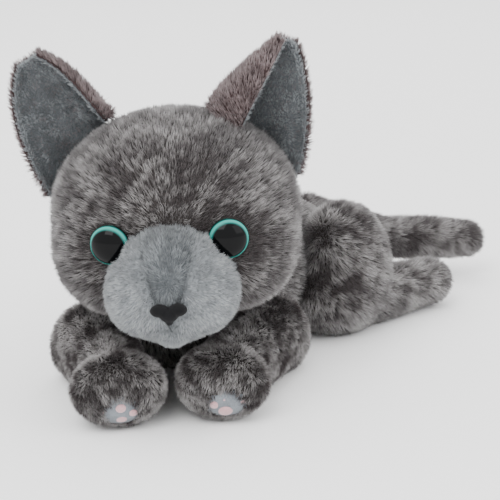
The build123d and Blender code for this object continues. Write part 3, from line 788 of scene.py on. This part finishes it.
pad_marks = {
    "foreleg": [(-7.0, 1.0, 2.6), (0.0, 5.6, 2.9), (7.0, 1.0, 2.6), (0.0, -3.6, 4.0)],
    "hind_leg": [(-6.0, 1.5, 2.4), (0.0, 5.0, 2.6), (6.0, 1.5, 2.4), (0.0, -3.5, 3.6)],
}
soles = []
for kind, node, sole_size in (("foreleg", "paw", 11.5), ("hind_leg", "foot", 9.5)):
    for s in ("left", "right"):
        skin = skins[f"{kind}_{s}"]
        if kind == "foreleg":
            centre = paw[s] * [1, 1, 0] + paw_middle
            facing = unit(middle(f"paw_{s}_sole") - centre)
        else:
            run = unit((toe[s] - hip[s]) * [1, 1, 0])
            facing = unit(run + [0, 0, 0.05])
            centre = toe[s] * [1, 1, 0] - run * 17 * MM + foot_middle
        sole = cap_of(skin, f"{node}_{s}_sole_patch", centre, facing, sole_size, 0.8)
        sole.data.materials.append(sole_cloth)
        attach(sole, f"{kind}_{s}")
        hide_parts(f"{node}_{s}_sole")
        soles.append((sole, f"{kind}_{s}", centre, facing, sole_size))
        x = unit(np.cross([0, 0, 1], facing))
        y = np.cross(facing, x)
        tri, co, normals = read_triangles(sole)
        pads = []
        for px, py, r in pad_marks[kind]:
            target = centre + (x * px + y * py) * MM
            away = co - target
            level = away @ facing
            flat = np.linalg.norm(away - np.outer(level, facing), axis=1) + np.where(level < 0, 1, 0)
            i = int(np.argmin(flat))
            pads.append(lobe(co[i] - normals[i] * 0.3 * MM, (r, r, r * 0.42), x, normals[i]))
        o = round_lumps(pads, 28, 16)
        bpy.ops.object.shade_smooth()
        o.name = f"{node}_{s}_toe_pads"
        o.data.materials.append(pink)
        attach(o, f"{kind}_{s}")
        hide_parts(f"{node}_{s}_pads")

# ---------------------------------------------------------------- pile on every long-pile skin
all_lobes = {"torso": torso_lobes, "head": head_lobes, "tail": tail_lobes, **limb_lobes}
hidden_below = 6.0 * MM
off_floor = 1.2 * MM


def outside_of(names):
    """Keeps the roots that no other skin buries."""

    def keep(root, normal):
        stay = root[:, 2] > off_floor
        for n in names:
            stay &= depth_in(root, all_lobes[n]) < hidden_below
        return stay

    return keep


def mottle(seed, base=0.42, patch=0.55, tuft=0.16, strand=0.08, scale=15):
    """Tone of each strand: broad patches, then its tuft, then its own."""

    def shade(root, near, g):
        broad = field(root, scale, seed)
        fine = field(root, scale * 0.3, seed + 1)
        each = g.random(int(near.max()) + 1)[near]
        patches = base + (broad - 0.5) * patch + (fine - 0.5) * patch * 1.1
        return patches + (each - 0.5) * 2 * tuft + g.normal(size=len(root)) * strand

    return shade


def head_comb(root, normal):
    """Away from the nose: up over the brow, outwards over the cheeks."""
    return unit(root - in_head(0, -78, -22)) + down * 0.12


def head_length(root, normal):
    """Short round the eyes and muzzle, long on the cheeks and crown."""
    p = head_frame_points(root)
    size = 4.6 + 1.4 * np.clip((np.abs(p[:, 0]) - 30) / 30, 0, 1) + 1.0 * np.clip((p[:, 1] + 20) / 40, 0, 1)
    for place, facing in eye_spot.values():
        d = np.linalg.norm(root - place, axis=1) / MM
        size = np.minimum(size, 3.2 + np.clip((d - 11) / 9, 0, 1) * 5)
    d = np.linalg.norm((root - muzzle_centre), axis=1) / MM
    return np.minimum(size, 2.8 + np.clip((d - 33) / 16, 0, 1) * 7)


def head_keep(root, normal):
    """No pile inside the muzzle or under the eyes."""
    stay = depth_in(root, muzzle_lobes) < 0.5 * MM
    for place, facing in eye_spot.values():
        away = root - place
        level = away @ facing
        flat = np.linalg.norm(away - np.outer(level, facing), axis=1)
        stay &= (flat > 10.3 * MM) | (level < -15 * MM)
    neck_gap = np.linalg.norm(root - (head + neck_line * 57 * MM), axis=1)
    return stay & (neck_gap > 24 * MM)


def head_shade(root, near, g):
    """The head's mottle, darker round each eye."""
    tone = mottle(11, base=0.30, patch=0.6)(root, near, g)
    for place, facing in eye_spot.values():
        d = np.linalg.norm(root - place, axis=1) / MM
        tone -= 0.30 * np.exp(-((d / 17.0) ** 4))
    return tone


furs = []


def coat(name, skin, body, slot_name, material=long_pile, **how):
    """Pile on a skin, riding where the skin rides."""
    o = grow(name, skin, material, **how)
    if body == "tail":
        bend_tail(o)
    else:
        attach(o, body)
    furs.append(o)
    return o


STRANDS = 44000  # on the largest pieces of pile


def even(mm):
    """The same length of pile all over."""
    return lambda root, normal: np.full(len(root), mm)


for i in range(2):
    coat(f"head_pile_{i}", skins["head"], "head", "head_fur", count=STRANDS, length=head_length, comb=head_comb,
         lift=0.5, keep=head_keep, shade=head_shade, width=0.55, seed=20 + i)
for i in range(2):
    coat(f"torso_pile_{i}", skins["torso"], "torso", "body_fur", count=int(STRANDS * 0.85), length=even(6.0),
         comb=lambda root, normal: body_run + down * 0.5, lift=0.45,
         keep=outside_of(["head", "foreleg_left", "foreleg_right", "hind_leg_left", "hind_leg_right", "tail"]),
         shade=mottle(31, base=0.38, patch=0.65), width=0.62, seed=40 + i)
for s in ("left", "right"):
    run = unit((paw[s] - shoulder[s]) * [1, 1, 0])
    patch = [x for x in soles if x[1] == f"foreleg_{s}"][0]

    def off_sole(root, normal, patch=patch):
        away = root - patch[2]
        level = away @ patch[3]
        flat = np.linalg.norm(away - np.outer(level, patch[3]), axis=1)
        return ((flat > (patch[4] - 1.5) * MM) | (level < 0)) & (root[:, 2] > off_floor)

    coat(f"foreleg_{s}_pile", skins[f"foreleg_{s}"], f"foreleg_{s}", "leg_fur", count=STRANDS,
         length=even(5.2), comb=lambda root, normal, run=run: run + down * 0.35, lift=0.5,
         keep=off_sole, shade=mottle(51, base=0.47, patch=0.75), width=0.6, seed=60 + len(furs))
    foot_run = unit((toe[s] - hip[s]) * [1, 1, 0])
    coat(f"hind_leg_{s}_pile", skins[f"hind_leg_{s}"], f"hind_leg_{s}", "body_fur", count=STRANDS,
         length=even(6.0), comb=lambda root, normal, run=foot_run: run * 0.8 + down * 0.6, lift=0.45,
         keep=outside_of(["torso"]), shade=mottle(71, base=0.46, patch=0.8), width=0.62, seed=70 + len(furs))
coat("tail_pile", tail, "tail", "tail_fur", count=int(STRANDS * 0.8), length=even(7.5),
     comb=lambda root, normal: np.tile(tail_run, (len(root), 1)) + down * 0.2,
     lift=0.55, keep=lambda root, normal: depth_in(root, torso_lobes) < 8 * MM,
     shade=mottle(81, base=0.16, patch=0.6), width=0.65, seed=90)

# the ears: brown pile behind, a close nap inside
for s in ("left", "right"):
    lining, back = ears[s]
    root_place = in_head(46 if s == "left" else -53, 8, 32)
    rim = kdtree.KDTree(len(ear_rims[s]))
    for k, place in enumerate(ear_rims[s]):
        rim.insert(place, k)
    rim.balance()

    def off_rim(root, normal, rim=rim):
        return np.fromiter((rim.find(p)[2] for p in root), float, len(root)) > 2.6 * MM

    # the ear lining's tone: random mottle plus painted shade; the right ear's lining is set darker than the left as
    # painted shade
    def lining_mottle_and_painted_shade(root, near, g, rim=rim, base=0.42 if s == "left" else 0.22):
        away = np.fromiter((rim.find(p)[2] for p in root), float, len(root)) / MM
        height = np.clip(((root - head) @ hz / MM - 15) / 75, 0, 1)
        tone = mottle(95, base=base, patch=0.7, tuft=0.18, scale=11)(root, near, g)
        # painted shade: the lining is painted lighter near its rim and darker deep in the cup and lower down
        return tone + 0.4 * np.exp(-away / 7.0) + 0.25 * (height - 0.4)

    coat(f"ear_{s}_pile", back, f"ear_{s}", "ear_fur", brown_pile, count=20000, length=even(4.5),
         comb=lambda root, normal, q=root_place: unit(root - q), lift=0.3, keep=off_rim,
         shade=mottle(91, base=0.45), width=0.6, seed=100 + len(furs))
    coat(f"ear_{s}_nap", lining, f"ear_{s}", "ear_plush", blue_nap, count=24000, length=even(3.0),
         comb=lambda root, normal, q=root_place: unit(root - q), lift=0.35,
         shade=lining_mottle_and_painted_shade, width=0.5, clump=0.45, seed=110 + len(furs))


def on_front(root, normal):
    """Only where the muzzle stands out of the head."""
    return (depth_in(root, head_lobes) < 1.0 * MM) & (np.linalg.norm(root - muzzle_centre, axis=1) > 24 * MM)


def cheek_mottle_and_painted_light(root, near, g):
    """The cheeks' mottle, with painted light: paler at their fullest, where light falls on the swell."""
    p = head_frame_points(root)
    full = np.clip(1 - np.hypot((np.abs(p[:, 0]) - 19) / 16, (p[:, 2] + 34) / 20), 0, 1)
    # painted light: the fullest part of each cheek is painted paler
    return mottle(97, base=0.22, patch=0.7, tuft=0.22, scale=9)(root, near, g) + 0.9 * full


coat("bridge_nap", bridge, "head", "bridge_plush", blue_nap, count=24000, length=even(3.6), comb=head_comb, lift=0.4,
     keep=on_front, shade=mottle(96, base=0.70, patch=0.8, tuft=0.18, scale=10), width=0.45, clump=0.45,
     seed=120)
for o, side_name in ((cheek_left, "left"), (cheek_right, "right")):
    coat(f"cheek_{side_name}_nap", o, "head", "cheek_plush", pale_nap, count=21000, length=even(3.8), comb=head_comb,
         lift=0.4, keep=on_front, shade=cheek_mottle_and_painted_light, width=0.5, clump=0.45, seed=121 + len(furs))
coat("chin_nap", chin, "head", "cheek_plush", pale_nap, count=3000, length=even(3.0), comb=head_comb, lift=0.45,
     shade=mottle(97, base=0.5, patch=0.3), width=0.45, clump=0.4, seed=150)

# ---------------------------------------------------------------- floor, light and camera
bpy.ops.mesh.primitive_plane_add(size=6, location=(0, 0, 0))
floor = bpy.context.object
floor.name = "floor"
m, tree, out = new_material("pale_floor")
shader = add_node(tree, "ShaderNodeBsdfPrincipled", [("Base Color", linear("#FFFFFF")), ("Roughness", 0.9)])
tree.links.new(shader.outputs[0], out.inputs[0])
floor.data.materials.append(m)

world = bpy.data.worlds.new("studio")
bpy.context.scene.world = world
world.use_nodes = True
world.node_tree.nodes["Background"].inputs[0].default_value = (1.0, 1.0, 1.0, 1.0)
world.node_tree.nodes["Background"].inputs[1].default_value = 2.0


def lamp(name, place, target, size, power):
    """A soft studio lamp."""
    light = bpy.data.lights.new(name, "AREA")
    light.size = size
    light.energy = power
    o = bpy.data.objects.new(name, light)
    bpy.context.scene.collection.objects.link(o)
    o.location = place
    o.rotation_euler = (Vector(target) - Vector(place)).to_track_quat("-Z", "Y").to_euler()
    return o


lamp("key", (-0.5, -0.9, 1.3), (0, 0, 0.08), 0.9, 14)
lamp("fill", (1.1, -0.8, 0.8), (0, 0, 0.08), 1.0, 6)
lamp("back", (0.2, 1.2, 1.2), (0, 0, 0.1), 1.0, 6)

camera_data = bpy.data.cameras.new("view")
camera = bpy.data.objects.new("view", camera_data)
bpy.context.scene.collection.objects.link(camera)
bpy.context.scene.camera = camera
camera_data.lens = 136
camera_data.sensor_width = 36
target = Vector((-0.0009, -0.080, 0.0753))
distance = 1.1
rise, swing, roll = math.radians(15.6), math.radians(3.5), math.radians(1.9)
look = Vector((math.sin(swing) * math.cos(rise), math.cos(swing) * math.cos(rise), -math.sin(rise)))
camera.location = target - look * distance
camera.rotation_euler = (look.to_track_quat("-Z", "Y").to_matrix() @ Matrix.Rotation(-roll, 3, "Z")).to_euler()
